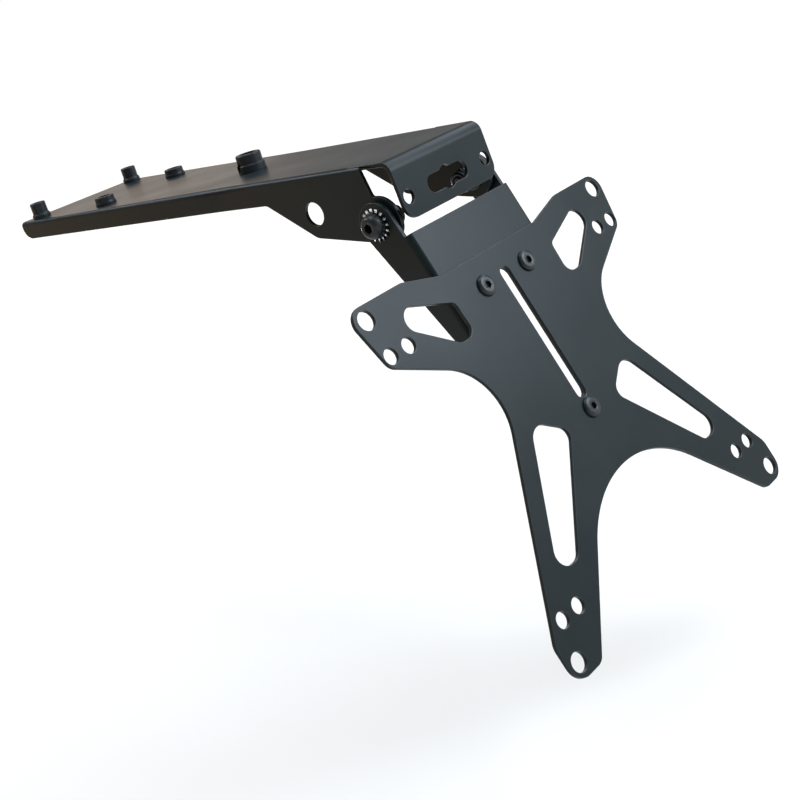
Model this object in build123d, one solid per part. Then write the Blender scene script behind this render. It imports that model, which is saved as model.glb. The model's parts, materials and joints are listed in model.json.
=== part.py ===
from build123d import *
import os
from math import atan2, cos, radians, sin, tan

# Tail tidy: a folded tail bracket, a pivoting arm and a flat number plate carrier.
# +X is to the right seen from behind, +Y towards the front of the bike, +Z up.
# The origin is the middle of the top face of the large spacer on the tail bracket.
# All sizes are in millimetres.

# Sheet, and the small gap that lets the arm turn
sheet = 2.0
running_gap = 0.05

# Arm, and the washer that spaces it off the tail bracket
arm_half_width = 37.0
arm_fold_inner = 1.0
arm_eye_radius = 9.7
spacer_washer_outer, spacer_washer_thick = 18.0, 1.55

# Tail bracket
plate_top = -9.0
front_edge = 154.0
flare_start = -9.3
rear_half_width = arm_half_width - sheet - running_gap - spacer_washer_thick
front_half_width = rear_half_width + 8.2
side_fold_inner = 0.4
rear_fold_start = -115.8
rear_fold_inner = 3.5
rear_flange_half_width = rear_half_width - 0.9
rear_flange_lean = 7.1
rear_flange_drop = 26.6
rear_flange_corner = 6.5
lamp_hole_x = rear_flange_half_width - 5.0
lamp_hole_drop = 17.0
lamp_hole_diameter = 6.5
window_half_width, window_half_height, window_corner = 14.0, 4.0, 3.95
window_drop, window_bulge = 16.7, 5.3
side_hole_y = -69.3
side_hole_z = -27.1
side_hole_diameter = 11.0
nose_drop, nose_corner = 9.5, 6.0
step_y, step_drop, step_corner = -39.8, 11.5, 5.0
lobe_y, lobe_drop, lobe_corner = -66.8, 29.3, 7.0

# Pivot, shared by the tail bracket and the arm
pivot_y = -108.3
pivot_z = -34.3
ear_radius, ear_corner = 11.4, 9.8
ear_notch, ear_notch_corner = 1.3, 1.5
flange_rear_edge = 4.4
pivot_bore = 6.1

# Arm and plate carrier are drawn upright about the pivot and tilted together
tilt = 22.57
web_back = -13.25
web_front = web_back + sheet
web_top = -11.55
web_shoulder = -94.05
web_shoulder_depth = -9.5
web_point = -126.05
web_point_half_width = 8.0
carrier_back = web_back
carrier_face = carrier_back - sheet
carrier_zero = -34.05

# Carrier outline and windows, right half: (x, distance down, corner radius)
carrier_outline = [
    (35.0, -0.4, 6.0),
    (58.0, -6.4, 10.0),
    (93.5, -6.4, 7.0),
    (87.6, 21.2, 6.0),
    (35.0, 46.9, 26.5),
    (93.7, 149.2, 8.0),
    (93.7, 167.0, 8.0),
    (76.4, 167.0, 6.0),
    (0.0, 84.1, 57.5),
]
upper_window = [
    (37.2, 12.2, 3.0),
    (64.5, 2.5, 5.7),
    (69.1, 11.3, 5.7),
    (46.3, 28.0, 5.0),
    (36.5, 28.0, 5.0),
]
lower_window = [
    (18.65, 84.64, 5.0),
    (37.33, 71.7, 8.0),
    (71.6, 128.9, 6.0),
    (56.3, 128.9, 6.0),
]

# Slot and screws through the carrier and the web, measured down from carrier_zero
slot_top = 9.5
slot_bottom = 77.5
slot_width = 6.5
web_slot_width = 9.2
screw_places = [(-15.6, 13.1), (15.6, 13.1), (0.0, 82.8)]
screw_clearance = 5.5

# Number plate holes: (x, distance down, diameter)
plate_holes = [
    (85.0, 0.0, 8.6),
    (87.1, 160.0, 8.6),
    (72.8, 17.15, 7.2),
    (84.1, 17.15, 7.2),
    (70.95, 143.05, 7.2),
    (82.35, 143.05, 7.2),
]

# Spacers
tall_x, tall_y = front_half_width - 8.7, front_edge - 9.4
tall_outer, tall_foot, tall_foot_height, tall_height, tall_bore = 8.6, 10.0, 2.6, 8.4, 5.3
low_x, low_y = rear_half_width - 8.4, 93.2
low_outer, low_foot, low_foot_height, low_height, low_bore = 10.4, 11.2, 1.8, 4.4, 6.4
large_outer, large_foot, large_foot_height, large_bore = 13.0, 14.4, 4.0, 8.4
cross_hole, cross_hole_height, cross_hole_stop, cross_hole_turn = 5.4, 2.9, 5.0, -26.0

# Screws, nuts and washers
plate_screw = (5.0, 12.0, 10.0, 1.9, 3.0)
pivot_screw = (6.0, 16.0, 11.2, 4.5, 4.0)
washer_outer, washer_thick = 10.0, 1.0
plate_nut_across, plate_nut_height = 8.0, 4.0
pivot_nut_across, pivot_nut_height = 10.0, 9.0
pivot_nut_flange, pivot_nut_collar = (13.0, 1.4), (9.6, 2.4)
tooth_thick, tooth_root, tooth_tip, tooth_count = 0.9, 12.4, 15.0, 16


def rounded(corners):
    """Flat face through corner points (x, y, radius)."""
    bends = []
    count = len(corners)
    for index, (x, y, radius) in enumerate(corners):
        corner = Vector(x, y)
        before = (Vector(*corners[index - 1][:2]) - corner).normalized()
        after = (Vector(*corners[(index + 1) % count][:2]) - corner).normalized()
        if radius == 0:
            bends.append((corner, None, corner))
            continue
        half = radians(before.get_angle(after) / 2)
        reach = radius / tan(half)
        middle = corner + (before + after).normalized() * (radius / sin(half) - radius)
        bends.append((corner + before * reach, middle, corner + after * reach))
    edges = []
    for index, (start, middle, end) in enumerate(bends):
        if middle is not None:
            edges.append(ThreePointArc(start, middle, end))
        following = bends[(index + 1) % count][0]
        if (following - end).length > 1e-3:
            edges.append(Line(end, following))
    face = Face(Wire([edge.edge() for edge in edges]))
    return face if face.normal_at().Z > 0 else -face


def mirrored(corners):
    """Both halves of a corner list given from top to bottom at positive x."""
    left = [(-x, y, radius) for x, y, radius in reversed(corners) if x > 0]
    return corners + left


def side_view(face, half_width):
    """Solid across X from a face drawn in (y, z)."""
    return extrude(Plane.YZ * face, half_width, both=True)


def front_view(face, back, front):
    """Solid along Y from a face drawn in (x, z)."""
    return extrude(Plane.XZ.offset(-front) * face, front - back)


def turned(profile):
    """Solid of revolution about Z from (radius, z) points."""
    return revolve(Plane.XZ * make_face(Polyline(*profile, close=True)), Axis.Z)


def across_x(diameter, y, z):
    return Pos(0, y, z) * Rot(0, 90, 0) * Cylinder(diameter / 2, 200)


def down(x, y, diameter):
    return Pos(x, y, plate_top) * Cylinder(diameter / 2, 12)


def on_arm(shape):
    return Pos(0, pivot_y, pivot_z) * Rot(-tilt, 0, 0) * shape


# Shapes of the screws, nuts, washers and spacers

def button_screw(size):
    """Button head socket screw: seat at z = 0, head up, shank down."""
    thread, length, head, height, socket = size
    rim = 0.15 * height
    crown = 0.62 * head / 2
    high = (0.86 * head / 2, 0.66 * height)
    profile = [
        Line((0, 0), (head / 2, 0)),
        Line((head / 2, 0), (head / 2, rim)),
        ThreePointArc((head / 2, rim), high, (crown, height)),
        Line((crown, height), (0, height)),
        Line((0, height), (0, 0)),
    ]
    cap = revolve(Plane.XZ * Face(Wire([line.edge() for line in profile])), Axis.Z)
    recess = RegularPolygon(socket / 2, 6, major_radius=False)
    cap -= extrude(Plane.XY.offset(0.4 * height) * recess, height)
    bite = 0.12 * thread
    shank = turned([
        (0, 0.2),
        (thread / 2, 0.2),
        (thread / 2, bite - length),
        (thread / 2 - bite, -length),
        (0, -length),
    ])
    return cap + shank


def hex_nut(thread, across, height):
    """Hexagon nut: seat at z = 0, body up."""
    body = extrude(RegularPolygon(across / 2, 6, major_radius=False), height)
    wide = across * 0.58
    cut = height * 0.12
    body &= turned([
        (0, 0),
        (wide - cut, 0),
        (wide, cut),
        (wide, height - cut),
        (wide - cut, height),
        (0, height),
    ])
    return body - Cylinder(thread / 2 + running_gap, 40)


def locking_nut(thread, across, height, flange, collar):
    """Hexagon nut between a round flange at its seat and a round collar at its far end."""
    hexagon = hex_nut(thread, across, height - collar[1])
    wide = turned([
        (0, 0),
        (flange[0] / 2, 0),
        (flange[0] / 2, 0.5 * flange[1]),
        (0.48 * across, flange[1]),
        (0, flange[1]),
    ])
    top = height - collar[1] - 0.2
    crown = turned([
        (0, top),
        (collar[0] / 2, top),
        (collar[0] / 2, height - 0.8),
        (collar[0] / 2 - 0.8, height),
        (0, height),
    ])
    return hexagon + wide + crown - Cylinder(thread / 2 + running_gap, 40)


def flat_washer(outer, inner, thick):
    """Flat washer: seat at z = 0, body up."""
    ring = Pos(0, 0, thick / 2) * Cylinder(outer / 2, thick)
    return ring - Cylinder(inner / 2, 40)


def tooth_washer(bore):
    """External tooth lock washer: seat at z = 0, body up."""
    ring = Pos(0, 0, tooth_thick / 2) * Cylinder(tooth_root / 2, tooth_thick)
    root = tooth_root / 2 - 0.5
    tip = tooth_tip / 2
    tooth = Polyline((root, -0.85), (tip, -0.6), (tip, 0.6), (root, 0.85), close=True)
    blade = extrude(make_face(tooth), tooth_thick)
    for index in range(tooth_count):
        ring += Rot(0, 0, index * 360 / tooth_count) * blade
    return ring - Cylinder(bore / 2, 40)


def spacer(outer, foot, foot_height, height, bore):
    """Upright spacer: seat at z = 0, with a wider foot."""
    body = turned([
        (bore / 2, 0),
        (foot / 2, 0),
        (foot / 2, foot_height * 0.6),
        (outer / 2, foot_height),
        (outer / 2, height - 0.4),
        (outer / 2 - 0.4, height),
        (bore / 2, height),
    ])
    return body


def collared_spacer():
    """Large spacer: a collar round its foot, cross drilled without reaching the bore."""
    body = turned([
        (large_bore / 2, plate_top),
        (large_foot / 2, plate_top),
        (large_foot / 2, plate_top + large_foot_height - 0.4),
        (large_foot / 2 - 0.4, plate_top + large_foot_height),
        (large_outer / 2, plate_top + large_foot_height),
        (large_outer / 2, -0.5),
        (large_outer / 2 - 0.5, 0),
        (large_bore / 2, 0),
    ])
    rod = Rot(0, 0, cross_hole_turn) * Rot(0, 90, 0) * Cylinder(cross_hole / 2, 40)
    drill = Pos(0, 0, plate_top + cross_hole_height) * rod
    drill -= Pos(0, 0, plate_top) * Cylinder(cross_hole_stop, 30)
    return body - drill


# Tail bracket

def channel_block(inset, back, front, top, radius):
    """Block with the bracket's plan shape and its long top edges rounded."""
    rear = rear_half_width - inset
    slope = (front_half_width - rear_half_width) / (front_edge - flare_start)
    nose = rear + slope * (front - flare_start)
    plan = rounded(mirrored([(nose, front, 0), (rear, flare_start, 300), (rear, back, 0)]))
    block = Pos(0, 0, top) * extrude(plan, -60)
    long_edges = [
        edge for edge in block.edges()
        if abs(edge.center().Z - top) < 0.01 and abs(edge.center().X) > rear - 1
    ]
    return fillet(long_edges, radius)


def rear_tab():
    """Rear end of the top plate folded down into the rear flange."""
    lean = radians(rear_flange_lean)
    turn = radians(90 - rear_flange_lean)
    outer = rear_fold_inner + sheet
    inner = rear_fold_inner
    start = rear_fold_start
    low = plate_top - outer

    def arc_point(radius, angle):
        return (start - radius * sin(angle), low + radius * cos(angle))

    end_out = arc_point(outer, turn)
    end_in = arc_point(inner, turn)
    straight = (rear_flange_drop * cos(lean) + end_out[1] - plate_top) / cos(lean)
    shift_y = -straight * sin(lean)
    shift_z = -straight * cos(lean)
    joined = pivot_y + 12
    lines = [
        Line((joined, plate_top), (start, plate_top)),
        ThreePointArc((start, plate_top), arc_point(outer, turn / 2), end_out),
        Line(end_out, (end_out[0] + shift_y, end_out[1] + shift_z)),
        Line(
            (end_out[0] + shift_y, end_out[1] + shift_z),
            (end_in[0] + shift_y, end_in[1] + shift_z),
        ),
        Line((end_in[0] + shift_y, end_in[1] + shift_z), end_in),
        ThreePointArc(end_in, arc_point(inner, turn / 2), (start, plate_top - sheet)),
        Line((start, plate_top - sheet), (joined, plate_top - sheet)),
        Line((joined, plate_top - sheet), (joined, plate_top)),
    ]
    profile = Face(Wire([line.edge() for line in lines]))
    tab = side_view(profile, rear_flange_half_width)
    corners = [
        edge for edge in tab.edges()
        if abs(edge.length - sheet) < 0.01 and edge.center().Z < end_out[1] + shift_z + 1.5
    ]
    tab = fillet(corners, rear_flange_corner)

    # Openings in the rear flange, in its own plane: x across, y downwards
    tip = rear_flange_drop
    outside = Plane(
        origin=(0, end_out[0] + shift_y + tip * sin(lean), end_out[1] + shift_z + tip * cos(lean)),
        x_dir=(1, 0, 0),
        z_dir=(0, -cos(lean), sin(lean)),
    )
    window = rounded([
        (hand * window_half_width, -window_drop + rise * window_half_height, window_corner)
        for hand, rise in ((-1, -1), (1, -1), (1, 1), (-1, 1))
    ])
    cutter = extrude(outside * window, 6, both=True)
    cutter += extrude(outside * (Pos(0, -window_drop) * Circle(window_bulge)), 6, both=True)
    for x in (-lamp_hole_x, lamp_hole_x):
        hole = Pos(x, -lamp_hole_drop) * Circle(lamp_hole_diameter / 2)
        cutter += extrude(outside * hole, 6, both=True)
    return tab - cutter


def tail_bracket():
    back = -150.0
    outside = channel_block(0, back, front_edge, plate_top, side_fold_inner + sheet)
    inside = channel_block(sheet, back - 5, front_edge + 5, plate_top - sheet, side_fold_inner)
    shell = outside - inside
    side = rounded([
        (front_edge + 8, plate_top + 5, 0),
        (front_edge + 8, plate_top - 1.2 * sheet, 0),
        (front_edge, plate_top - 1.2 * sheet, 0),
        (front_edge, plate_top - nose_drop, nose_corner),
        (step_y, plate_top - step_drop, step_corner),
        (lobe_y, plate_top - lobe_drop, lobe_corner),
        (pivot_y - ear_radius, pivot_z - ear_radius, ear_corner),
        (pivot_y - ear_radius, pivot_z + ear_radius, ear_radius - 0.1),
        (pivot_y + ear_notch, pivot_z + ear_radius, ear_notch_corner),
        (pivot_y + flange_rear_edge, plate_top - 1.5, 0),
        (pivot_y + flange_rear_edge, plate_top + 5, 0),
    ])
    shell &= side_view(side, 60)
    body = shell + rear_tab()
    body -= across_x(side_hole_diameter, side_hole_y, side_hole_z)
    body -= across_x(pivot_bore, pivot_y, pivot_z)
    for hand in (-1, 1):
        body -= down(hand * tall_x, tall_y, tall_bore)
        body -= down(hand * low_x, low_y, low_bore)
    body -= down(0, 0, large_bore)
    return body


# Arm

def arm_bracket():
    deep = 40.0
    outer = Pos(0, web_back + deep / 2, 0) * Box(2 * arm_half_width, deep, 400)
    inner = Pos(0, web_front + deep / 2, 0) * Box(2 * (arm_half_width - sheet), deep, 420)

    def folds(block, level):
        return [
            edge for edge in block.edges().filter_by(Axis.Z)
            if abs(edge.center().Y - level) < 0.01
        ]

    channel = fillet(folds(outer, web_back), arm_fold_inner + sheet)
    channel -= fillet(folds(inner, web_front), arm_fold_inner)
    slant = atan2(1.2 * arm_eye_radius - web_shoulder_depth, arm_eye_radius - web_shoulder)
    eye = 0.985 * arm_eye_radius
    side = rounded([
        (web_back - 5, web_top, 0),
        (web_front + 1, web_top, 0),
        (-arm_eye_radius, arm_eye_radius, eye),
        (arm_eye_radius * (1 + sin(slant)) / cos(slant), arm_eye_radius, eye),
        (web_shoulder_depth, web_shoulder, 0),
        (web_shoulder_depth, web_point - 15, 0),
        (web_back - 5, web_point - 15, 0),
    ])
    channel &= side_view(side, 60)
    wide = arm_half_width
    outline = rounded(mirrored([
        (wide + 5, 40, 0),
        (wide + 5, web_shoulder + 5, 0),
        (wide, web_shoulder, 0),
        (web_point_half_width, web_point, web_point_half_width),
    ]))
    body = channel & front_view(outline, web_back - 5, 40)
    body -= slot_cutter(web_slot_width)
    body -= screw_holes()
    body -= across_x(pivot_bore, 0, 0)
    return body


def slot_cutter(width):
    middle = carrier_zero - (slot_top + slot_bottom) / 2
    length = slot_bottom - slot_top
    slot = Pos(0, middle) * Rot(0, 0, 90) * SlotOverall(length, width)
    return front_view(slot, -30, 10)


def screw_holes():
    cutter = Part()
    for x, drop in screw_places:
        hole = Pos(x, carrier_zero - drop) * Circle(screw_clearance / 2)
        cutter += front_view(hole, -30, 10)
    return cutter


# Plate carrier

def carrier_view(corners):
    """Corner list with heights measured down from carrier_zero."""
    return [(x, carrier_zero - drop, radius) for x, drop, radius in corners]


def plate_carrier():
    outline = rounded(mirrored(carrier_view(carrier_outline)))
    body = front_view(outline, carrier_face, carrier_back)
    upper = rounded(carrier_view(upper_window))
    lower = rounded(carrier_view(lower_window))
    window = front_view(upper, -30, 10) + front_view(lower, -30, 10)
    for x, drop, diameter in plate_holes:
        hole = Pos(x, carrier_zero - drop) * Circle(diameter / 2)
        window += front_view(hole, -30, 10)
    body -= window
    body -= mirror(window, Plane.YZ)
    body -= slot_cutter(slot_width)
    return body - screw_holes()


# Assembly

nodes = {
    "tail_bracket": tail_bracket(),
    "arm_bracket": on_arm(arm_bracket()),
    "plate_carrier": on_arm(plate_carrier()),
    "large_spacer": collared_spacer(),
}

for side_name, hand in (("left", -1), ("right", 1)):
    tall = spacer(tall_outer, tall_foot, tall_foot_height, tall_height, tall_bore)
    nodes["tall_spacer_" + side_name] = Pos(hand * tall_x, tall_y, plate_top) * tall
    low = spacer(low_outer, low_foot, low_foot_height, low_height, low_bore)
    nodes["low_spacer_" + side_name] = Pos(hand * low_x, low_y, plate_top) * low

    def outward(x):
        return Pos(hand * x, pivot_y, pivot_z) * Rot(0, 90 * hand, 0)

    teeth_at = arm_half_width + running_gap
    head_at = teeth_at + tooth_thick
    ear_inside = rear_half_width - sheet
    thread = pivot_screw[0]
    wide = flat_washer(spacer_washer_outer, pivot_bore, spacer_washer_thick)
    nodes["pivot_washer_" + side_name] = outward(rear_half_width) * wide
    nodes["tooth_washer_" + side_name] = outward(teeth_at) * tooth_washer(pivot_bore)
    nodes["pivot_screw_" + side_name] = outward(head_at) * button_screw(pivot_screw)
    nut = locking_nut(
        thread, pivot_nut_across, pivot_nut_height, pivot_nut_flange, pivot_nut_collar
    )
    seat_inside = Pos(hand * ear_inside, pivot_y, pivot_z) * Rot(0, -90 * hand, 0)
    nodes["pivot_nut_" + side_name] = seat_inside * nut

for place_name, (x, drop) in zip(("left", "right", "low"), screw_places):
    height = carrier_zero - drop
    backwards = Pos(x, carrier_face, height) * Rot(90, 0, 0)
    screw = backwards * button_screw(plate_screw)
    nodes["plate_screw_" + place_name] = on_arm(screw)
    washer = flat_washer(washer_outer, plate_screw[0] + 0.3, washer_thick)
    nodes["plate_washer_" + place_name] = on_arm(Pos(x, web_front, height) * Rot(-90, 0, 0) * washer)
    nut = hex_nut(plate_screw[0], plate_nut_across, plate_nut_height)
    seat = web_front + washer_thick
    nodes["plate_nut_" + place_name] = on_arm(Pos(x, seat, height) * Rot(-90, 0, 0) * nut)

os.makedirs("parts", exist_ok=True)
for name, solid in nodes.items():
    export_step(solid, os.path.join("parts", name + ".step"))
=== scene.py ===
import json
from math import cos, pi, radians, sin

import bmesh
import bpy
from bpy.props import FloatProperty, FloatVectorProperty, IntProperty, PointerProperty
from mathutils import Matrix, Vector
from mathutils.bvhtree import BVHTree


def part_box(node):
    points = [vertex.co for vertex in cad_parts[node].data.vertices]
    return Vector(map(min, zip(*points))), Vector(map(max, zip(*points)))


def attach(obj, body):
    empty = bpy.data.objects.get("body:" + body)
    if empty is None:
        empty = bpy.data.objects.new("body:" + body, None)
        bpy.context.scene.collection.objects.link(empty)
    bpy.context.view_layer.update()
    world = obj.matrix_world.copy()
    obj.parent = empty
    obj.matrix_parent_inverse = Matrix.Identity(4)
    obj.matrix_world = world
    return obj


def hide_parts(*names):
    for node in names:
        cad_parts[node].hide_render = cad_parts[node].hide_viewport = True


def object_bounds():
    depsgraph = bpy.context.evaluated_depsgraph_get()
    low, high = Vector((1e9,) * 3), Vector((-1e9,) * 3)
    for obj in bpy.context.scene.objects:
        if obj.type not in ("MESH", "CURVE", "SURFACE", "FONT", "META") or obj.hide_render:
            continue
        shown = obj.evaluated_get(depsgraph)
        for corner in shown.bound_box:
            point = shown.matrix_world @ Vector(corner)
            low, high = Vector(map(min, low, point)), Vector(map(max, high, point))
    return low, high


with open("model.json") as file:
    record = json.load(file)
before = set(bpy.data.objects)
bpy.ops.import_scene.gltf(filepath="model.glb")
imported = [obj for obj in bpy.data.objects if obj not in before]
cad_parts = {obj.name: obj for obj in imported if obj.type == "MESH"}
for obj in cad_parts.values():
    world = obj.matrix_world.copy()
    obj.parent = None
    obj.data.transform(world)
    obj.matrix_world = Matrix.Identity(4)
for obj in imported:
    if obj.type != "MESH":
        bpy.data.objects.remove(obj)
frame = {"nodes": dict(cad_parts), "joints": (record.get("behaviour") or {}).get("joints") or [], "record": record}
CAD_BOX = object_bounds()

bl_info = {
    "name": "Tail Tidy",
    "version": (1, 0, 0),
    "blender": (4, 5, 0),
    "location": "View3D > Sidebar > Tail Tidy",
    "description": "Builds a motorbike tail tidy with its fasteners, finishes and a small studio",
    "category": "Add Mesh",
}

MM = 0.001
SHEET = 2.0 * MM
NODES = frame["nodes"]
MOUNTS = {mount["name"]: mount for mount in frame["record"]["mounts"]}
PIVOT = Vector(frame["joints"][0]["pos_m"])

# Way out of the carrier's rear face
FACE_OUT = Vector(MOUNTS["upper_plate_holes"]["axis"]).normalized()

# Carrier fasteners: M5 low button heads, with washers and nuts behind the arm
PLATE_THREAD, PLATE_PITCH, PLATE_SHANK = 5.0 * MM, 0.8 * MM, 12.0 * MM
PLATE_HEAD_HEIGHT, PLATE_SOCKET = 1.9 * MM, 3.0 * MM
PLATE_WASHER, PLATE_WASHER_BORE, PLATE_WASHER_THICK = 5.0 * MM, 2.65 * MM, 1.0 * MM
PLATE_NUT, PLATE_NUT_HEIGHT = 8.0 * MM, 4.0 * MM

# Pivot fasteners: M6 button heads on toothed lock washers, with locking nuts inside the ears
PIVOT_THREAD, PIVOT_PITCH, PIVOT_SHANK = 6.0 * MM, 1.0 * MM, 16.0 * MM
PIVOT_HEAD_HEIGHT, PIVOT_SOCKET = 4.5 * MM, 4.0 * MM
PIVOT_BORE = 3.05 * MM
PIVOT_WASHER, PIVOT_WASHER_THICK = 9.0 * MM, 1.55 * MM
PIVOT_NUT, PIVOT_NUT_HEIGHT = 10.0 * MM, 9.0 * MM
LOCK_RING, LOCK_THICK = 5.8 * MM, 0.9 * MM
TOOTH_ROOT, TOOTH_TIP = 5.5 * MM, 7.5 * MM

# Nuts clear their threads by this much all round
THREAD_GAP = 0.05 * MM


# Colours and materials

def linear(code):
    """Linear red, green, blue and alpha from an sRGB hex colour."""
    channels = [int(code[i:i + 2], 16) / 255 for i in (1, 3, 5)]
    curve = [c / 12.92 if c <= 0.04045 else ((c + 0.055) / 1.055) ** 2.4 for c in channels]
    return (*curve, 1.0)


def grain(size_mm):
    """Noise scale on Object coordinates for a pattern of this size."""
    return 1 / (size_mm * MM)


def add_node(tree, kind, links=None, **settings):
    """Adds a node; settings go to its properties or inputs, links to its input sockets."""
    node = tree.nodes.new(kind)
    for key, value in settings.items():
        if hasattr(node, key):
            setattr(node, key, value)
        else:
            node.inputs[key.replace("_", " ")].default_value = value
    for key, socket in (links or {}).items():
        tree.links.new(socket, node.inputs[key])
    return node


def coated_metal(
    name, dark, light, roughness, specular, peel_mm, peel_height, metallic=0.0, ring=None
):
    """Paint or plating whose tone drifts over the piece, with a fine orange peel in its surface.

    ring is a radius about the pivot's axis inside which the tone is painted dark, as painted shade.
    """
    material = bpy.data.materials.get(name)
    if material:
        return material
    material = bpy.data.materials.new(name)
    material.use_nodes = True
    tree = material.node_tree
    tree.nodes.clear()
    place = add_node(tree, "ShaderNodeTexCoord").outputs["Object"]
    drift = add_node(tree, "ShaderNodeTexNoise", {"Vector": place}, Scale=grain(38), Detail=2.0)
    speck = add_node(tree, "ShaderNodeTexNoise", {"Vector": place}, Scale=grain(0.9), Detail=3.0)
    both = add_node(
        tree, "ShaderNodeMix",
        {"A": drift.outputs["Fac"], "B": speck.outputs["Fac"]}, data_type="FLOAT",
    )
    both.inputs["Factor"].default_value = 0.35
    tone = add_node(tree, "ShaderNodeValToRGB", {"Fac": both.outputs["Result"]})
    tone.color_ramp.elements[0].position = 0.35
    tone.color_ramp.elements[0].color = linear(dark)
    tone.color_ramp.elements[1].position = 0.65
    tone.color_ramp.elements[1].color = linear(light)
    sheen = add_node(tree, "ShaderNodeMapRange", {"Value": both.outputs["Result"]})
    sheen.inputs["From Min"].default_value = 0.35
    sheen.inputs["From Max"].default_value = 0.65
    sheen.inputs["To Min"].default_value = roughness - 0.04
    sheen.inputs["To Max"].default_value = roughness + 0.05
    peel = add_node(tree, "ShaderNodeTexNoise", {"Vector": place}, Scale=grain(peel_mm), Detail=2.0)
    bump = add_node(tree, "ShaderNodeBump", {"Height": peel.outputs["Fac"]}, Strength=1.0)
    bump.inputs["Distance"].default_value = peel_height * MM
    colour = tone.outputs["Color"]
    # Painted shade: inside the ring about the pivot's axis the colour is a flat dark tone
    if ring:
        spoke = add_node(tree, "ShaderNodeVectorMath", {0: place}, operation="SUBTRACT")
        spoke.inputs[1].default_value = PIVOT
        flat = add_node(tree, "ShaderNodeVectorMath", {0: spoke.outputs[0]}, operation="MULTIPLY")
        flat.inputs[1].default_value = (0, 1, 1)
        reach = add_node(tree, "ShaderNodeVectorMath", {0: flat.outputs[0]}, operation="LENGTH")
        edge = add_node(tree, "ShaderNodeMapRange", {"Value": reach.outputs["Value"]})
        edge.inputs["From Min"].default_value = ring
        edge.inputs["From Max"].default_value = ring + 0.2 * MM
        painted_shade_ring = add_node(
            tree, "ShaderNodeMix", {"Factor": edge.outputs["Result"], 7: colour}, data_type="RGBA",
        )
        painted_shade_ring.inputs[6].default_value = linear("#1c1e1f")
        colour = painted_shade_ring.outputs[2]
    shader = add_node(
        tree, "ShaderNodeBsdfPrincipled",
        {
            "Base Color": colour,
            "Roughness": sheen.outputs["Result"],
            "Normal": bump.outputs["Normal"],
        },
        Metallic=metallic,
    )
    shader.inputs["Specular IOR Level"].default_value = specular
    add_node(tree, "ShaderNodeOutputMaterial", {"Surface": shader.outputs["BSDF"]})
    return material


def powder_coat():
    # Satin black powder coat, baked on folded steel: soft broad highlights and a slight orange peel
    return coated_metal("satin_black_powder_coat", "#151e20", "#1a2426", 0.36, 0.18, 1.1, 0.012)


def thin_coat_and_edge_highlight():
    # The same coat where it draws thin over an eased edge, glossier; its lighter tone is a painted highlight along
    # the edges
    return coated_metal("powder_coat_on_edges", "#1e2629", "#262e31", 0.3, 0.35, 1.1, 0.004)


def black_oxide():
    # Black oxide on turned screws and nuts: darker and tighter than the powder coat
    return coated_metal("black_oxide_steel", "#11181b", "#192225", 0.36, 0.36, 0.4, 0.004)


def black_anodise():
    # Black anodised turned aluminium: even, with a faint grey lift
    return coated_metal("black_anodised_aluminium", "#14181b", "#1d2226", 0.42, 0.25, 0.5, 0.004)


def bright_zinc():
    # Zinc plate on spring steel with bright silver teeth; the ring inside them is painted dark as painted shade
    return coated_metal(
        "bright_zinc_plate", "#c4c8cc", "#eceeef", 0.22, 0.5, 0.6, 0.003,
        metallic=1.0, ring=LOCK_RING + 0.05 * MM,
    )


# Meshes

def middle(node):
    """Middle of a CAD node's box, which for a washer is its own middle."""
    low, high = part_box(node)
    return (low + high) / 2


def new_object(name, mesh):
    piece = bpy.data.objects.new(name, mesh)
    bpy.context.scene.collection.objects.link(piece)
    return piece


def evaluated(piece):
    """Plain mesh of a piece with its modifiers worked in."""
    graph = bpy.context.evaluated_depsgraph_get()
    return bpy.data.meshes.new_from_object(piece.evaluated_get(graph), depsgraph=graph)


def baked(piece):
    """Works the modifiers into the piece's own mesh and removes them."""
    mesh = evaluated(piece)
    piece.modifiers.clear()
    old = piece.data
    piece.data = mesh
    mesh.name = piece.name
    if isinstance(old, bpy.types.Mesh) and old.users == 0:
        bpy.data.meshes.remove(old)
    return piece


def ease_edges(piece, width, angle=32, segments=3):
    """Rounds every sharp edge a little, as paint and tumbling do."""
    points = [vertex.co.copy() for vertex in piece.data.vertices]
    surface = BVHTree.FromPolygons(points, [face.vertices[:] for face in piece.data.polygons])
    bevel = piece.modifiers.new("ease", "BEVEL")
    bevel.width = width
    bevel.segments = segments
    bevel.limit_method = "ANGLE"
    bevel.angle_limit = radians(angle)
    bevel.use_clamp_overlap = False
    bevel.miter_outer = "MITER_ARC"
    # Bevel faces take the last material; on the sheet pieces that is the edge coat, a shade lighter as a painted
    # highlight
    bevel.material = len(piece.data.materials) - 1
    baked(piece)
    for vertex in piece.data.vertices:
        # A corner that slid off the sheet comes back to it
        spot, _, _, gap = surface.find_nearest(vertex.co)
        if gap > 0.7 * width:
            vertex.co = spot
    flat = piece.modifiers.new("flat", "WEIGHTED_NORMAL")
    flat.mode = "FACE_AREA"
    flat.weight = 100
    return baked(piece)


def copy_of_node(node, name):
    """Welded copy of a CAD node, its flat faces merged into single polygons."""
    bm = bmesh.new()
    bm.from_mesh(NODES[node].data)
    bmesh.ops.remove_doubles(bm, verts=bm.verts, dist=1e-6)
    bmesh.ops.dissolve_limit(
        bm, angle_limit=radians(0.4), verts=bm.verts, edges=bm.edges, delimit={"NORMAL"}
    )
    for face in bm.faces:
        face.smooth = True
    mesh = bpy.data.meshes.new(name)
    bm.to_mesh(mesh)
    bm.free()
    mesh.materials.clear()
    return new_object(name, mesh)


def settle(piece, materials, body, slot, *nodes):
    """Gives a finished piece its materials and its body, and hides the CAD nodes it stands for."""
    while len(piece.data.materials) < len(materials):
        piece.data.materials.append(None)
    for index, material in enumerate(materials):
        piece.data.materials[index] = material
    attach(piece, body)
    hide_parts(*nodes)
    return piece


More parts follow.
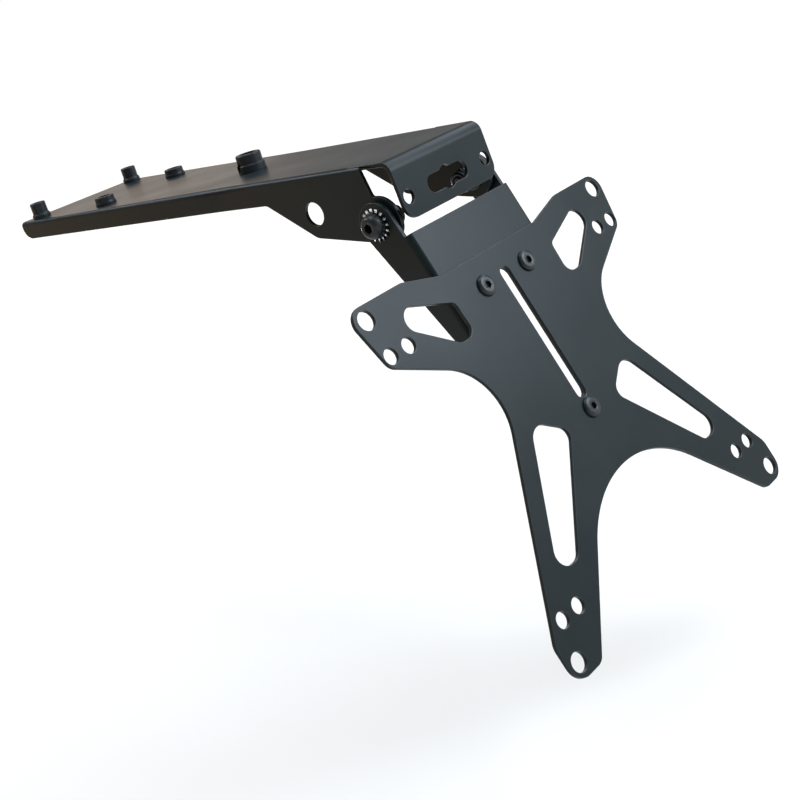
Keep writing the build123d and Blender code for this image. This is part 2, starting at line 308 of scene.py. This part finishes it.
def lathe(profile, steps=48):
    """Closed solid of revolution about Z from (radius, height) points in metres."""
    bm = bmesh.new()
    rings = []
    for radius, height in profile:
        if radius < 1e-7:
            rings.append([bm.verts.new((0, 0, height))])
        else:
            turn = [2 * pi * i / steps for i in range(steps)]
            rings.append([bm.verts.new((radius * cos(t), radius * sin(t), height)) for t in turn])
    closed = rings + ([rings[0]] if len(rings[0]) > 1 else [])
    for low, high in zip(closed, closed[1:]):
        for i in range(steps):
            j = (i + 1) % steps
            if len(low) == 1 and len(high) == 1:
                break
            if len(low) == 1:
                bm.faces.new((low[0], high[j], high[i]))
            elif len(high) == 1:
                bm.faces.new((low[i], low[j], high[0]))
            else:
                bm.faces.new((low[i], low[j], high[j], high[i]))
    bmesh.ops.recalc_face_normals(bm, faces=bm.faces)
    for face in bm.faces:
        face.smooth = True
    return bm


def object_from(bm, name):
    mesh = bpy.data.meshes.new(name)
    bm.to_mesh(mesh)
    bm.free()
    return new_object(name, mesh)


def cut_with(piece, cutter):
    """Boolean difference, worked in; the cutter is removed."""
    cut = piece.modifiers.new("cut", "BOOLEAN")
    cut.operation = "DIFFERENCE"
    cut.solver = "EXACT"
    cut.object = cutter
    baked(piece)
    remove(cutter)
    return piece


def remove(piece):
    mesh = piece.data
    bpy.data.objects.remove(piece)
    if mesh.users == 0:
        bpy.data.meshes.remove(mesh)


def prism(sides, across, low, high, name):
    """Upright regular prism with its flats facing X."""
    bm = bmesh.new()
    reach = across / 2 / cos(pi / sides)
    turn = [2 * pi * (i + 0.5) / sides for i in range(sides)]
    ends = [[bm.verts.new((reach * cos(t), reach * sin(t), z)) for t in turn] for z in (low, high)]
    bm.faces.new(reversed(ends[0]))
    bm.faces.new(ends[1])
    for i in range(sides):
        j = (i + 1) % sides
        bm.faces.new((ends[0][i], ends[0][j], ends[1][j], ends[1][i]))
    return object_from(bm, name)


def joined(pieces, name):
    """One object from several, in the first one's place."""
    bm = bmesh.new()
    for piece in pieces:
        bm.from_mesh(piece.data)
    result = object_from(bm, name)
    for piece in pieces:
        remove(piece)
    return result


# Fasteners, each standing on z = 0 with its axis along Z

def threaded_rod(thread, pitch, length, steps=32, rows=6):
    """Rod hanging from z = 0, with a single-start thread and a chamfered lower end."""
    bm = bmesh.new()
    radius = thread / 2
    depth = 0.54 * pitch
    count = int(length / pitch * rows)
    rings = []
    for row in range(count + 1):
        z = -length * row / count
        ring = []
        for i in range(steps):
            t = 2 * pi * i / steps
            phase = (z / pitch - i / steps) % 1
            cut = depth * (1 - abs(2 * phase - 1)) * 0.6
            tip = min(1.0, (z + length) / (0.12 * thread))
            r = min(radius - cut, radius * (0.76 + 0.24 * tip))
            ring.append(bm.verts.new((r * cos(t), r * sin(t), z)))
        rings.append(ring)
    for low, high in zip(rings, rings[1:]):
        for i in range(steps):
            j = (i + 1) % steps
            bm.faces.new((low[i], high[i], high[j], low[j]))
    bm.faces.new(rings[0])
    bm.faces.new(reversed(rings[-1]))
    bmesh.ops.recalc_face_normals(bm, faces=bm.faces)
    for face in bm.faces:
        face.smooth = len(face.verts) == 4
    return object_from(bm, "rod")


def button_head(diameter, height, socket, name):
    """Domed head with a short upright rim and a hexagon socket."""
    radius = diameter / 2
    rim = 0.15 * height
    crown = 0.60 * radius
    dome = [(0, 0), (radius - 0.1 * MM, 0), (radius, 0.12 * MM), (radius, rim)]
    for step in range(1, 9):
        t = step / 9
        out = radius + (crown - radius) * (1 - cos(t * pi / 2))
        dome.append((out, rim + (height - rim) * sin(t * pi / 2)))
    dome += [(crown, height), (0, height)]
    head = object_from(lathe(dome), name)
    head = cut_with(head, prism(6, socket, 0.15 * height, 2 * height, "socket"))
    return ease_edges(head, 0.10 * MM, angle=28, segments=2)


def hexagon_nut(thread, across, height, name):
    """Nut with chamfered corners and a bore that clears its screw."""
    body = prism(6, across, 0, height, name)
    wide = across * 0.58
    cut = height * 0.12
    collar = object_from(lathe([
        (0, -MM), (wide - cut, -MM), (wide - cut, 0), (wide, cut), (wide, height - cut),
        (wide - cut, height), (wide - cut, height + MM), (0, height + MM),
    ]), "collar")
    keep = body.modifiers.new("round", "BOOLEAN")
    keep.operation = "INTERSECT"
    keep.solver = "EXACT"
    keep.object = collar
    baked(body)
    remove(collar)
    bore = thread / 2 + THREAD_GAP
    hole = object_from(
        lathe([(0, -MM), (bore, -MM), (bore, height + MM), (0, height + MM)]), "bore",
    )
    body = cut_with(body, hole)
    return ease_edges(body, 0.12 * MM, angle=28, segments=2)


def locking_nut(thread, across, height, name):
    """Nut with a round flange at its seat and a round collar that holds the locking ring."""
    collar = 2.4 * MM
    hexagon = hexagon_nut(thread, across, height - collar, name)
    bore = thread / 2 + THREAD_GAP
    flange = object_from(lathe([
        (bore, 0), (6.35 * MM, 0), (6.5 * MM, 0.15 * MM), (6.5 * MM, 0.7 * MM),
        (6.3 * MM, 0.85 * MM), (0.48 * across, 1.4 * MM), (bore, 1.4 * MM),
    ]), "flange")
    top = height - collar - 0.2 * MM
    ring = object_from(lathe([
        (bore, top), (4.8 * MM, top), (4.8 * MM, height - 0.8 * MM), (4.55 * MM, height - 0.3 * MM),
        (4.0 * MM, height), (bore, height),
    ]), "ring")
    return joined([hexagon, flange, ring], name)


def ring_washer(outer, inner, thick, name):
    soft = 0.12 * thick
    return object_from(lathe([
        (inner, soft), (inner + soft, 0), (outer - soft, 0), (outer, soft),
        (outer, thick - soft), (outer - soft, thick), (inner + soft, thick), (inner, thick - soft),
    ], 64), name)


def twisted_tooth(root, tip, thick, name):
    """One lock washer tooth along X, its blade twisted about its own middle."""
    bm = bmesh.new()
    blade = 0.4 * thick
    loops = []
    # Share of the way out, half the width in millimetres, slope of the twist
    for part, half, twist in (
        (0.0, 0.62, 0.0), (0.35, 0.58, 0.3), (0.7, 0.52, 0.52), (1.0, 0.46, 0.55),
    ):
        out = root + part * (tip - root)
        loop = []
        for across, side in ((-half, -1), (half, -1), (half, 1), (-half, 1)):
            rise = 0.5 * thick + 0.5 * side * blade + twist * across * MM
            loop.append(bm.verts.new((out, across * MM, min(max(rise, 0), thick))))
        loops.append(loop)
    for low, high in zip(loops, loops[1:]):
        for i in range(4):
            j = (i + 1) % 4
            bm.faces.new((low[i], low[j], high[j], high[i]))
    bm.faces.new(reversed(loops[0]))
    bm.faces.new(loops[-1])
    bmesh.ops.recalc_face_normals(bm, faces=bm.faces)
    return object_from(bm, name)


# Geometry Nodes

def tree_with(name, inputs):
    """Geometry node tree with a geometry input and output and the named inputs."""
    tree = bpy.data.node_groups.new(name, "GeometryNodeTree")
    face = tree.interface
    face.new_socket("Geometry", in_out="INPUT", socket_type="NodeSocketGeometry")
    face.new_socket("Geometry", in_out="OUTPUT", socket_type="NodeSocketGeometry")
    for label, kind in inputs:
        face.new_socket(label, in_out="INPUT", socket_type=kind)
    return tree, tree.nodes.new("NodeGroupInput"), tree.nodes.new("NodeGroupOutput")


def places_tree():
    """Stands one fastener on every point, turned to face the same way."""
    tree, given, out = tree_with("Fasteners on points", [
        ("Fastener", "NodeSocketObject"),
        ("Facing", "NodeSocketRotation"),
        ("Finish", "NodeSocketMaterial"),
    ])
    source = add_node(tree, "GeometryNodeObjectInfo", {"Object": given.outputs["Fastener"]})
    placed = add_node(tree, "GeometryNodeInstanceOnPoints", {
        "Points": given.outputs["Geometry"],
        "Instance": source.outputs["Geometry"],
        "Rotation": given.outputs["Facing"],
    })
    real = add_node(tree, "GeometryNodeRealizeInstances", {"Geometry": placed.outputs["Instances"]})
    shown = add_node(tree, "GeometryNodeSetMaterial", {
        "Geometry": real.outputs["Geometry"], "Material": given.outputs["Finish"],
    })
    tree.links.new(shown.outputs["Geometry"], out.inputs["Geometry"])
    return tree


def ring_tree():
    """Sets teeth round a ring and joins them to it."""
    tree, given, out = tree_with("Teeth round a ring", [
        ("Tooth", "NodeSocketObject"),
        ("Count", "NodeSocketInt"),
        ("Finish", "NodeSocketMaterial"),
    ])
    source = add_node(tree, "GeometryNodeObjectInfo", {"Object": given.outputs["Tooth"]})
    points = add_node(tree, "GeometryNodePoints", {"Count": given.outputs["Count"]})
    index = add_node(tree, "GeometryNodeInputIndex")
    part = add_node(
        tree, "ShaderNodeMath",
        {0: index.outputs[0], 1: given.outputs["Count"]}, operation="DIVIDE",
    )
    turn = add_node(tree, "ShaderNodeMath", {0: part.outputs[0]}, operation="MULTIPLY")
    turn.inputs[1].default_value = 2 * pi
    spin = add_node(tree, "ShaderNodeCombineXYZ", {"Z": turn.outputs[0]})
    placed = add_node(tree, "GeometryNodeInstanceOnPoints", {
        "Points": points.outputs[0],
        "Instance": source.outputs["Geometry"],
        "Rotation": spin.outputs[0],
    })
    real = add_node(tree, "GeometryNodeRealizeInstances", {"Geometry": placed.outputs["Instances"]})
    whole = add_node(tree, "GeometryNodeJoinGeometry", {"Geometry": real.outputs["Geometry"]})
    tree.links.new(given.outputs["Geometry"], whole.inputs["Geometry"])
    shown = add_node(tree, "GeometryNodeSetMaterial", {
        "Geometry": whole.outputs["Geometry"], "Material": given.outputs["Finish"],
    })
    tree.links.new(shown.outputs["Geometry"], out.inputs["Geometry"])
    return tree


def run_tree(piece, tree, values):
    """Runs a node tree on the piece with the named inputs, then works it in."""
    modifier = piece.modifiers.new(tree.name, "NODES")
    modifier.node_group = tree
    for item in tree.interface.items_tree:
        if item.in_out == "INPUT" and item.name in values:
            modifier[item.identifier] = values[item.name]
    return baked(piece)


def stand_on(places, fastener, facing, finish, name):
    """Mesh piece with a copy of the fastener on each place."""
    mesh = bpy.data.meshes.new(name)
    mesh.from_pydata([tuple(place) for place in places], [], [])
    piece = new_object(name, mesh)
    run_tree(piece, places_tree(), {
        "Fastener": fastener, "Facing": facing.to_euler(), "Finish": finish,
    })
    return piece


# Settings

class TailTidySettings(bpy.types.PropertyGroup):
    edge: FloatProperty(
        name="Edge rounding", description="Radius on the coated sheet edges",
        default=0.28 * MM, min=0.0, subtype="DISTANCE", unit="LENGTH",
    )
    plate_head: FloatProperty(
        name="Plate screw head", description="Head diameter of the carrier's button screws",
        default=10.0 * MM, subtype="DISTANCE", unit="LENGTH",
    )
    pivot_head: FloatProperty(
        name="Pivot screw head", description="Head diameter of the pivot's button screws",
        default=11.2 * MM, subtype="DISTANCE", unit="LENGTH",
    )
    teeth: IntProperty(
        name="Lock washer teeth", description="Teeth round each pivot lock washer",
        default=16, min=6, max=40,
    )
    lens: FloatProperty(
        name="Lens", description="Focal length of the studio camera in millimetres",
        default=58.5, min=10.0,
    )
    floor_colour: FloatVectorProperty(
        name="Floor", description="Colour of the studio floor and backdrop",
        default=(1.0, 1.0, 1.0), subtype="COLOR", size=3, min=0.0, max=1.0,
    )


# Pieces

class SheetPiece:
    """Shared by the three sheet pieces: a coated copy of one CAD node."""
    bl_options = {"REGISTER"}
    node = ""
    body = ""

    def execute(self, context):
        piece = copy_of_node(self.node, self.node + "_coated")
        # The second finish goes on the eased edges and carries a painted highlight
        finishes = [powder_coat(), thin_coat_and_edge_highlight()]
        for finish in finishes:
            piece.data.materials.append(finish)
        ease_edges(piece, context.scene.tail_tidy.edge)
        settle(piece, finishes, self.body, self.node, self.node)
        return {"FINISHED"}


class TAILTIDY_OT_tail_bracket(SheetPiece, bpy.types.Operator):
    """Folded bracket under the tail, with eased edges and a satin coat"""
    bl_idname = "tail_tidy.tail_bracket"
    bl_label = "Tail bracket"
    node = "tail_bracket"
    body = "tail"


class TAILTIDY_OT_arm_bracket(SheetPiece, bpy.types.Operator):
    """Folded arm behind the carrier"""
    bl_idname = "tail_tidy.arm_bracket"
    bl_label = "Arm bracket"
    node = "arm_bracket"
    body = "arm"


class TAILTIDY_OT_plate_carrier(SheetPiece, bpy.types.Operator):
    """Flat number plate carrier"""
    bl_idname = "tail_tidy.plate_carrier"
    bl_label = "Plate carrier"
    node = "plate_carrier"
    body = "arm"


class TAILTIDY_OT_spacers(bpy.types.Operator):
    """Turned spacers on the top plate"""
    bl_idname = "tail_tidy.spacers"
    bl_label = "Spacers"
    bl_options = {"REGISTER"}

    def execute(self, context):
        names = ["large_spacer"]
        for size in ("tall", "low"):
            names += [size + "_spacer_left", size + "_spacer_right"]
        for name in names:
            piece = copy_of_node(name, name + "_turned")
            ease_edges(piece, 0.15 * MM)
            settle(piece, [black_anodise()], "tail", "spacer", name)
        return {"FINISHED"}


class TAILTIDY_OT_plate_fasteners(bpy.types.Operator):
    """Screws, washers and nuts that hold the carrier to the arm"""
    bl_idname = "tail_tidy.plate_fasteners"
    bl_label = "Plate fasteners"
    bl_options = {"REGISTER"}

    def execute(self, context):
        settings = context.scene.tail_tidy
        out = FACE_OUT.to_track_quat("Z", "Y")
        back = (-FACE_OUT).to_track_quat("Z", "Y")
        head = button_head(settings.plate_head, PLATE_HEAD_HEIGHT, PLATE_SOCKET, "head")
        rod = threaded_rod(PLATE_THREAD, PLATE_PITCH, PLATE_SHANK)
        screw = joined([head, rod], "screw")
        washer = ring_washer(PLATE_WASHER, PLATE_WASHER_BORE, PLATE_WASHER_THICK, "washer")
        nut = hexagon_nut(PLATE_THREAD, PLATE_NUT, PLATE_NUT_HEIGHT, "nut")
        spots = ("left", "right", "low")
        rings = [middle("plate_washer_" + spot) for spot in spots]
        half = FACE_OUT * PLATE_WASHER_THICK / 2
        face = [ring + half + FACE_OUT * 2 * SHEET for ring in rings]
        behind = [ring + half for ring in rings]
        seats = [ring - half for ring in rings]
        for fastener, places, facing, kind, slot in (
            (screw, face, out, "plate_screw", "screw"),
            (washer, behind, back, "plate_washer", "nut_and_washer"),
            (nut, seats, back, "plate_nut", "nut_and_washer"),
        ):
            piece = stand_on(places, fastener, facing, black_oxide(), kind + "s")
            settle(piece, [black_oxide()], "arm", slot, *[kind + "_" + spot for spot in spots])
            remove(fastener)
        return {"FINISHED"}


class TAILTIDY_OT_pivot_fasteners(bpy.types.Operator):
    """Screws, toothed and plain washers and nuts at the pivot"""
    bl_idname = "tail_tidy.pivot_fasteners"
    bl_label = "Pivot fasteners"
    bl_options = {"REGISTER"}

    def execute(self, context):
        settings = context.scene.tail_tidy
        head = button_head(settings.pivot_head, PIVOT_HEAD_HEIGHT, PIVOT_SOCKET, "head")
        rod = threaded_rod(PIVOT_THREAD, PIVOT_PITCH, PIVOT_SHANK)
        screw = joined([head, rod], "screw")
        washer = ring_washer(PIVOT_WASHER, PIVOT_BORE, PIVOT_WASHER_THICK, "washer")
        nut = locking_nut(PIVOT_THREAD, PIVOT_NUT, PIVOT_NUT_HEIGHT, "nut")
        lock = ring_washer(LOCK_RING, PIVOT_BORE, LOCK_THICK, "lock")
        tooth = twisted_tooth(TOOTH_ROOT, TOOTH_TIP, LOCK_THICK, "tooth")
        run_tree(lock, ring_tree(), {
            "Tooth": tooth, "Count": settings.teeth, "Finish": bright_zinc(),
        })
        remove(tooth)
        teeth_in, teeth_out = (corner.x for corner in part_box("tooth_washer_right"))
        ear_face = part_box("pivot_washer_right")[0].x
        stack = [
            (screw, teeth_out, 1, "pivot_screw", "screw", black_oxide()),
            (lock, teeth_in, 1, "tooth_washer", "tooth_washer", bright_zinc()),
            (washer, ear_face, 1, "pivot_washer", "nut_and_washer", black_oxide()),
            (nut, ear_face - SHEET, -1, "pivot_nut", "nut_and_washer", black_oxide()),
        ]
        for fastener, seat, way, kind, slot, finish in stack:
            for side, hand in (("left", -1), ("right", 1)):
                facing = Vector((hand * way, 0, 0)).to_track_quat("Z", "Y")
                place = Vector((hand * seat, PIVOT.y, PIVOT.z))
                piece = stand_on([place], fastener, facing, finish, kind + "_" + side + "_made")
                settle(piece, [finish], "tail", slot, kind + "_" + side)
            remove(fastener)
        return {"FINISHED"}


# Stage

# The object hangs clear of the floor by this much
FLOOR_DROP = 70 * MM
FLOOR_Z = CAD_BOX[0].z - FLOOR_DROP

# Name, place, aim, width, height (metres), power (watts), colour
LAMPS = (
    # Broad light on the carrier, from behind the bike on the right
    ("softbox", (0.465, -0.722, 0.445), (0, -0.17, -0.09), 0.42, 0.75, 11.0, "#e6f2ff"),
    # Even light on the top plate
    ("overhead", (0.0, 0.0, 0.7), (0, 0, 0), 0.3, 0.3, 2.1, "#e2efff"),
    # Soft line along the rear bend
    ("bend_light", (0.60, -0.13, 0.52), (0, -0.12, 0), 0.5, 0.25, 1.5, "#e6f0ff"),
    # Line along the near side bend and on the spacers
    ("strip", (-0.27, 0.60, 0.60), (0, 0, 0), 0.45, 0.2, 3.4, "#e4f0ff"),
    # Low light on the faces turned to the front of the bike
    ("front_fill", (0.40, 1.0, -0.225), (0, 0, 0), 0.6, 0.1, 5.0, "#f4f4ff"),
    # Warm sheen on the front of the top plate
    ("front_window", (0.60, 1.19, 0.42), (0, 0, 0), 0.75, 0.4, 1.15, "#ffe6d0"),
)

CAMERA_PLACE = Vector((-430.5, -497.2, 67.7)) * MM
CAMERA_AHEAD = Vector((0.6613, 0.6829, -0.3103))
CAMERA_RIGHT = Vector((0.6238, -0.7304, -0.2781))


def area_lamp(name, place, aim, width, height, power, colour):
    lamp = bpy.data.lights.new(name, "AREA")
    lamp.shape = "RECTANGLE"
    lamp.size = width
    lamp.size_y = height
    lamp.energy = power
    lamp.color = linear(colour)[:3]
    piece = bpy.data.objects.new(name, lamp)
    piece.visible_camera = False
    piece.location = place
    piece.rotation_euler = (Vector(aim) - Vector(place)).to_track_quat("-Z", "Y").to_euler()
    bpy.context.scene.collection.objects.link(piece)


def empty_tree(owner):
    """Node tree of a material or world, cleared."""
    owner.use_nodes = True
    owner.node_tree.nodes.clear()
    return owner.node_tree


def plane(name, half_width, half_height, place):
    """Flat rectangle in its place: half_width along X, half_height along Y."""
    bm = bmesh.new()
    bmesh.ops.create_grid(bm, x_segments=1, y_segments=1, size=1)
    piece = object_from(bm, name)
    piece.data.transform(place @ Matrix.Diagonal((half_width, half_height, 1, 1)))
    return piece


def seen_directly(tree):
    """1 for camera, glossy and transmission rays, 0 for light bounced off rough surfaces."""
    path = add_node(tree, "ShaderNodeLightPath")
    first = add_node(
        tree, "ShaderNodeMath",
        {0: path.outputs["Is Camera Ray"], 1: path.outputs["Is Glossy Ray"]}, operation="MAXIMUM",
    )
    both = add_node(
        tree, "ShaderNodeMath",
        {0: first.outputs[0], 1: path.outputs["Is Transmission Ray"]}, operation="MAXIMUM",
    )
    return both.outputs[0]


def studio_floor(white):
    """Even white floor that keeps the object's shadow."""
    floor = plane("floor", 30, 30, Matrix.Translation((0, 0, FLOOR_Z)))
    material = bpy.data.materials.new("studio_floor")
    tree = empty_tree(material)
    # The floor glows less where the lamps light it more, so it is one even white
    spot = add_node(tree, "ShaderNodeTexCoord").outputs["Object"]
    far = add_node(tree, "ShaderNodeVectorMath", {0: spot}, operation="DISTANCE")
    far.inputs[1].default_value = (0.2, -0.1, FLOOR_Z)
    level = add_node(
        tree, "ShaderNodeMapRange",
        {"Value": far.outputs["Value"]}, interpolation_type="SMOOTHSTEP",
    )
    level.inputs["From Max"].default_value = 1.3
    level.inputs["To Min"].default_value = 0.21
    level.inputs["To Max"].default_value = 0.74
    glow = add_node(tree, "ShaderNodeEmission", {"Strength": level.outputs["Result"]}, Color=white)
    lit = add_node(tree, "ShaderNodeBsdfDiffuse", Color=(0.59, 0.575, 0.545, 1))
    pale = add_node(tree, "ShaderNodeAddShader", {0: glow.outputs[0], 1: lit.outputs[0]})
    # Light that the floor throws back on the object
    dim = add_node(tree, "ShaderNodeBsdfDiffuse", Color=(0.15, 0.14, 0.12, 1))
    mix = add_node(
        tree, "ShaderNodeMixShader",
        {"Fac": seen_directly(tree), 1: dim.outputs[0], 2: pale.outputs[0]},
    )
    add_node(tree, "ShaderNodeOutputMaterial", {"Surface": mix.outputs[0]})
    floor.data.materials.append(material)


def dark_card():
    """Dark card at the left, warmer towards the front, that only glossy reflections show."""
    upright = Matrix.Translation((-0.62, 0.80, -0.16)) @ Matrix.Rotation(radians(90), 4, "Y")
    card = plane("dark_card", 0.45, 0.8, upright)
    card.visible_camera = False
    card.visible_diffuse = False
    card.visible_shadow = False
    card.visible_transmission = False
    material = bpy.data.materials.new("dark_card")
    tree = empty_tree(material)
    place = add_node(tree, "ShaderNodeTexCoord").outputs["Object"]
    along = add_node(tree, "ShaderNodeSeparateXYZ", {"Vector": place}).outputs["Y"]
    warmth = add_node(tree, "ShaderNodeMapRange", {"Value": along}, interpolation_type="SMOOTHSTEP")
    warmth.inputs["From Min"].default_value = 0.08
    warmth.inputs["From Max"].default_value = 1.12
    shade = add_node(tree, "ShaderNodeMix", {"Factor": warmth.outputs["Result"]}, data_type="RGBA")
    shade.inputs[6].default_value = (0.50, 0.48, 0.36, 1)
    shade.inputs[7].default_value = (1.1, 0.68, 0.36, 1)
    glow = add_node(tree, "ShaderNodeEmission", {"Color": shade.outputs[2]}, Strength=1.0)
    add_node(tree, "ShaderNodeOutputMaterial", {"Surface": glow.outputs[0]})
    card.data.materials.append(material)


def studio_world(white):
    """Backdrop that is white along the horizon, in a room that is brighter on the right."""
    world = bpy.data.worlds.new("studio")
    tree = empty_tree(world)
    way = add_node(tree, "ShaderNodeTexCoord").outputs["Generated"]
    parts = add_node(tree, "ShaderNodeSeparateXYZ", {"Vector": way})
    side = add_node(tree, "ShaderNodeMapRange", {"Value": parts.outputs["X"]})
    side.inputs["From Min"].default_value = -1.0
    side.inputs["To Min"].default_value = 0.1
    side.inputs["To Max"].default_value = 1.0
    room = add_node(
        tree, "ShaderNodeBackground", {"Strength": side.outputs["Result"]}, Color=(1, 1, 1, 1),
    )
    fade = add_node(
        tree, "ShaderNodeMapRange", {"Value": parts.outputs["Z"]}, interpolation_type="SMOOTHSTEP",
    )
    fade.inputs["From Min"].default_value = sin(radians(3))
    fade.inputs["From Max"].default_value = sin(radians(11))
    tone = add_node(tree, "ShaderNodeMix", {"Factor": fade.outputs["Result"]}, data_type="RGBA")
    tone.inputs[6].default_value = white
    tone.inputs[7].default_value = linear("#8a8078")
    backdrop = add_node(tree, "ShaderNodeBackground", {"Color": tone.outputs[2]}, Strength=1.0)
    mix = add_node(
        tree, "ShaderNodeMixShader",
        {"Fac": seen_directly(tree), 1: room.outputs[0], 2: backdrop.outputs[0]},
    )
    add_node(tree, "ShaderNodeOutputWorld", {"Surface": mix.outputs[0]})
    return world


def studio_camera(lens):
    camera = bpy.data.cameras.new("camera")
    camera.lens = lens
    camera.sensor_width = 36
    camera.clip_start = 0.01
    camera.clip_end = 100
    ahead = CAMERA_AHEAD.normalized()
    right = CAMERA_RIGHT.normalized()
    up = right.cross(ahead).normalized()
    turn = Matrix((right, up, -ahead)).transposed().to_4x4()
    view = bpy.data.objects.new("camera", camera)
    view.matrix_world = Matrix.Translation(CAMERA_PLACE) @ turn
    bpy.context.scene.collection.objects.link(view)
    return view


class TAILTIDY_OT_stage(bpy.types.Operator):
    """Pale floor, soft lamps, world and the camera"""
    bl_idname = "tail_tidy.stage"
    bl_label = "Stage"
    bl_options = {"REGISTER"}

    def execute(self, context):
        scene = context.scene
        settings = scene.tail_tidy
        scene.view_settings.view_transform = "Standard"
        white = (*settings.floor_colour, 1.0)
        studio_floor(white)
        dark_card()
        scene.world = studio_world(white)
        for lamp in LAMPS:
            area_lamp(*lamp)
        scene.camera = studio_camera(settings.lens)
        return {"FINISHED"}


class TAILTIDY_PT_panel(bpy.types.Panel):
    """Settings and steps of the tail tidy"""
    bl_idname = "TAILTIDY_PT_panel"
    bl_label = "Tail Tidy"
    bl_space_type = "VIEW_3D"
    bl_region_type = "UI"
    bl_category = "Tail Tidy"

    def draw(self, context):
        settings = context.scene.tail_tidy
        for name in TailTidySettings.__annotations__:
            self.layout.prop(settings, name)
        for step in STEPS:
            self.layout.operator(step.bl_idname)


STEPS = (
    TAILTIDY_OT_tail_bracket,
    TAILTIDY_OT_arm_bracket,
    TAILTIDY_OT_plate_carrier,
    TAILTIDY_OT_spacers,
    TAILTIDY_OT_plate_fasteners,
    TAILTIDY_OT_pivot_fasteners,
    TAILTIDY_OT_stage,
)


def register():
    for kind in (TailTidySettings, *STEPS, TAILTIDY_PT_panel):
        bpy.utils.register_class(kind)
    bpy.types.Scene.tail_tidy = PointerProperty(type=TailTidySettings)


def unregister():
    del bpy.types.Scene.tail_tidy
    for kind in reversed((TailTidySettings, *STEPS, TAILTIDY_PT_panel)):
        bpy.utils.unregister_class(kind)


def main():
    register()
    bpy.ops.tail_tidy.tail_bracket()
    bpy.ops.tail_tidy.arm_bracket()
    bpy.ops.tail_tidy.plate_carrier()
    bpy.ops.tail_tidy.spacers()
    bpy.ops.tail_tidy.plate_fasteners()
    bpy.ops.tail_tidy.pivot_fasteners()
    bpy.ops.tail_tidy.stage()


if __name__ == "__main__":
    main()
